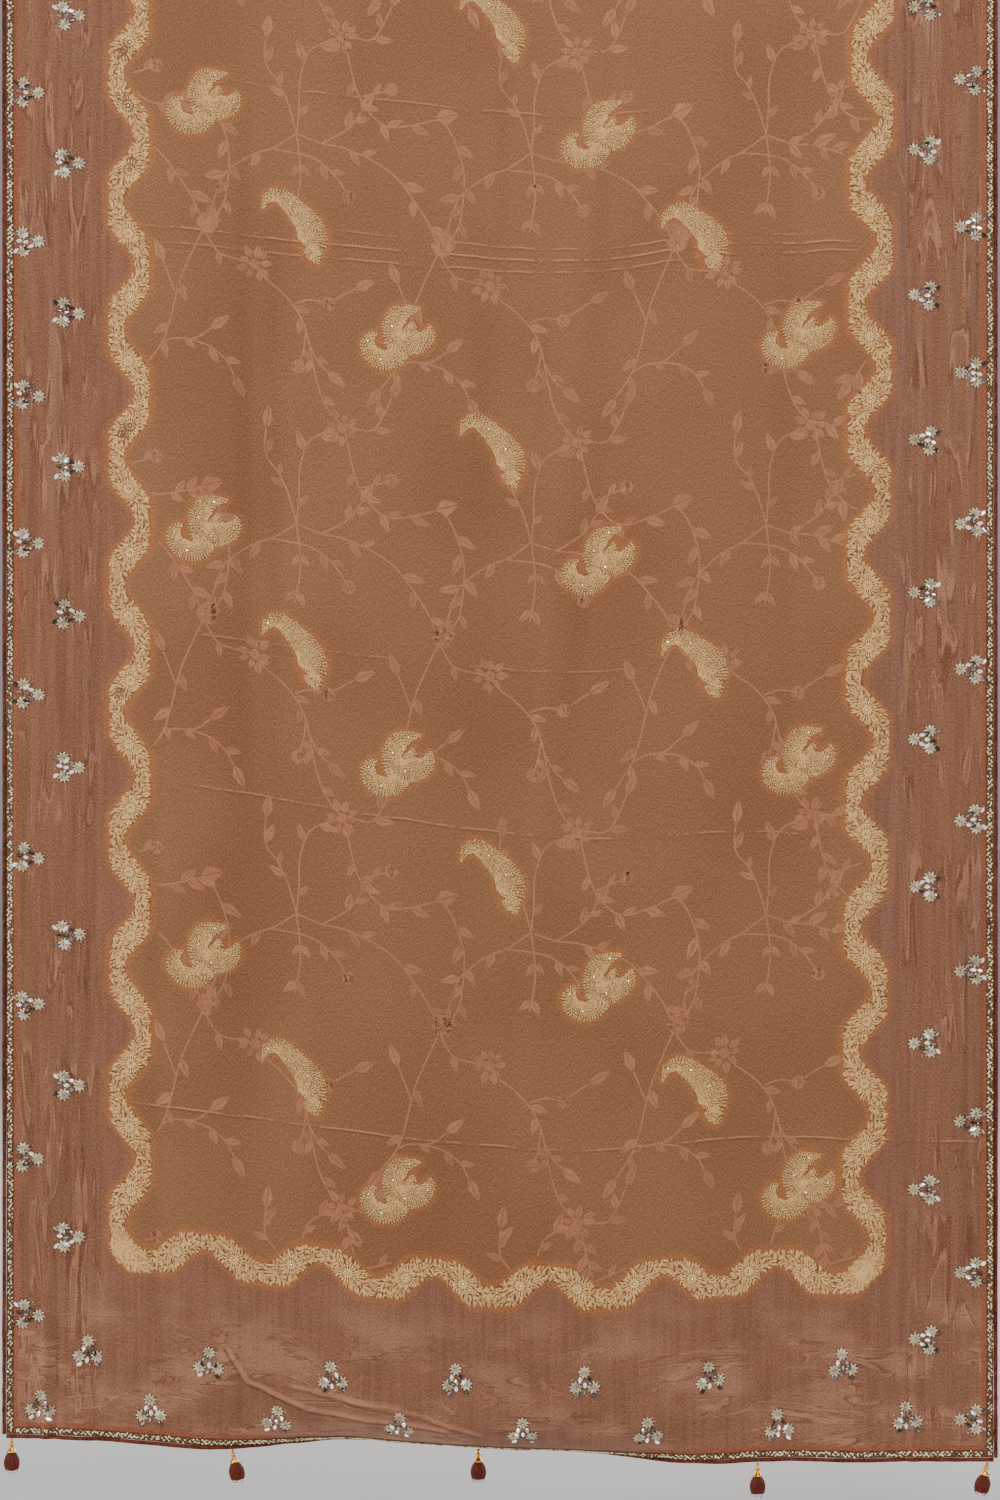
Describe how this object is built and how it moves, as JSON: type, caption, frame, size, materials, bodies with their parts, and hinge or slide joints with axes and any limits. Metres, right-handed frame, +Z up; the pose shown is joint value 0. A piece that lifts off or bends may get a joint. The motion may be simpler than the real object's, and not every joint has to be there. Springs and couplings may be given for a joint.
{
  "type": "embroidered silk saree hung over a plain rod",
  "caption": "Embroidered silk saree hung over a plain wooden rod, pallu in front, with a bound edge, metal lace and swinging beaded drops.",
  "frame": {"origin": "middle of the rod's axis, halfway between its ends", "axes": "+Z up, +X along the rod to the right as seen from the front, the pallu facing -Y"},
  "size_m": [1.3, 0.0649, 2.0151],
  "materials": {
    "silk": "soft woven silk with embroidery, satin sheen",
    "binding_silk": "rolled rust-brown silk binding",
    "metal_lace": "flat lace of gold and silver thread",
    "gold_metal": "polished gold-coloured metal",
    "drop_thread": "rust silk thread wound over a core",
    "glass_beads": "silver-lined glass seed beads",
    "rod_wood": "smooth oiled beech"
  },
  "bodies": {
    "saree": {"rod": "rod_wood", "pallu_front": "silk", "back_fall": "silk", "inner_return": "silk", "binding_left": "binding_silk", "binding_right": "binding_silk", "binding_hem": "binding_silk", "binding_back_left": "binding_silk", "binding_back_right": "binding_silk", "lace_left": "metal_lace", "lace_right": "metal_lace", "lace_hem": "metal_lace", "lace_back_left": "metal_lace", "lace_back_right": "metal_lace"},
    "drop_1": {"drop_1_cap": "gold_metal", "drop_1_oval": "drop_thread", "drop_1_rim": "glass_beads"},
    "drop_2": {"drop_2_cap": "gold_metal", "drop_2_oval": "drop_thread", "drop_2_rim": "glass_beads"},
    "drop_3": {"drop_3_cap": "gold_metal", "drop_3_oval": "drop_thread", "drop_3_rim": "glass_beads"},
    "drop_4": {"drop_4_cap": "gold_metal", "drop_4_oval": "drop_thread", "drop_4_rim": "glass_beads"},
    "drop_5": {"drop_5_cap": "gold_metal", "drop_5_oval": "drop_thread", "drop_5_rim": "glass_beads"}
  },
  "joints": [
    {"name": "drop_1_swing", "type": "hinge", "parent": "saree", "child": "drop_1", "pos_m": [-0.559, -0.0192, -1.92571], "axis": [1, 0, 0], "range_deg": [-75, 75]},
    {"name": "drop_2_swing", "type": "hinge", "parent": "saree", "child": "drop_2", "pos_m": [-0.308, -0.00638, -1.94023], "axis": [1, 0, 0], "range_deg": [-75, 75]},
    {"name": "drop_3_swing", "type": "hinge", "parent": "saree", "child": "drop_3", "pos_m": [-0.025, 0.02773, -1.94599], "axis": [1, 0, 0], "range_deg": [-40, 75]},
    {"name": "drop_4_swing", "type": "hinge", "parent": "saree", "child": "drop_4", "pos_m": [0.295, -0.01823, -1.95315], "axis": [1, 0, 0], "range_deg": [-75, 75]},
    {"name": "drop_5_swing", "type": "hinge", "parent": "saree", "child": "drop_5", "pos_m": [0.559, -0.0192, -1.9526], "axis": [1, 0, 0], "range_deg": [-75, 75]}
  ]
}
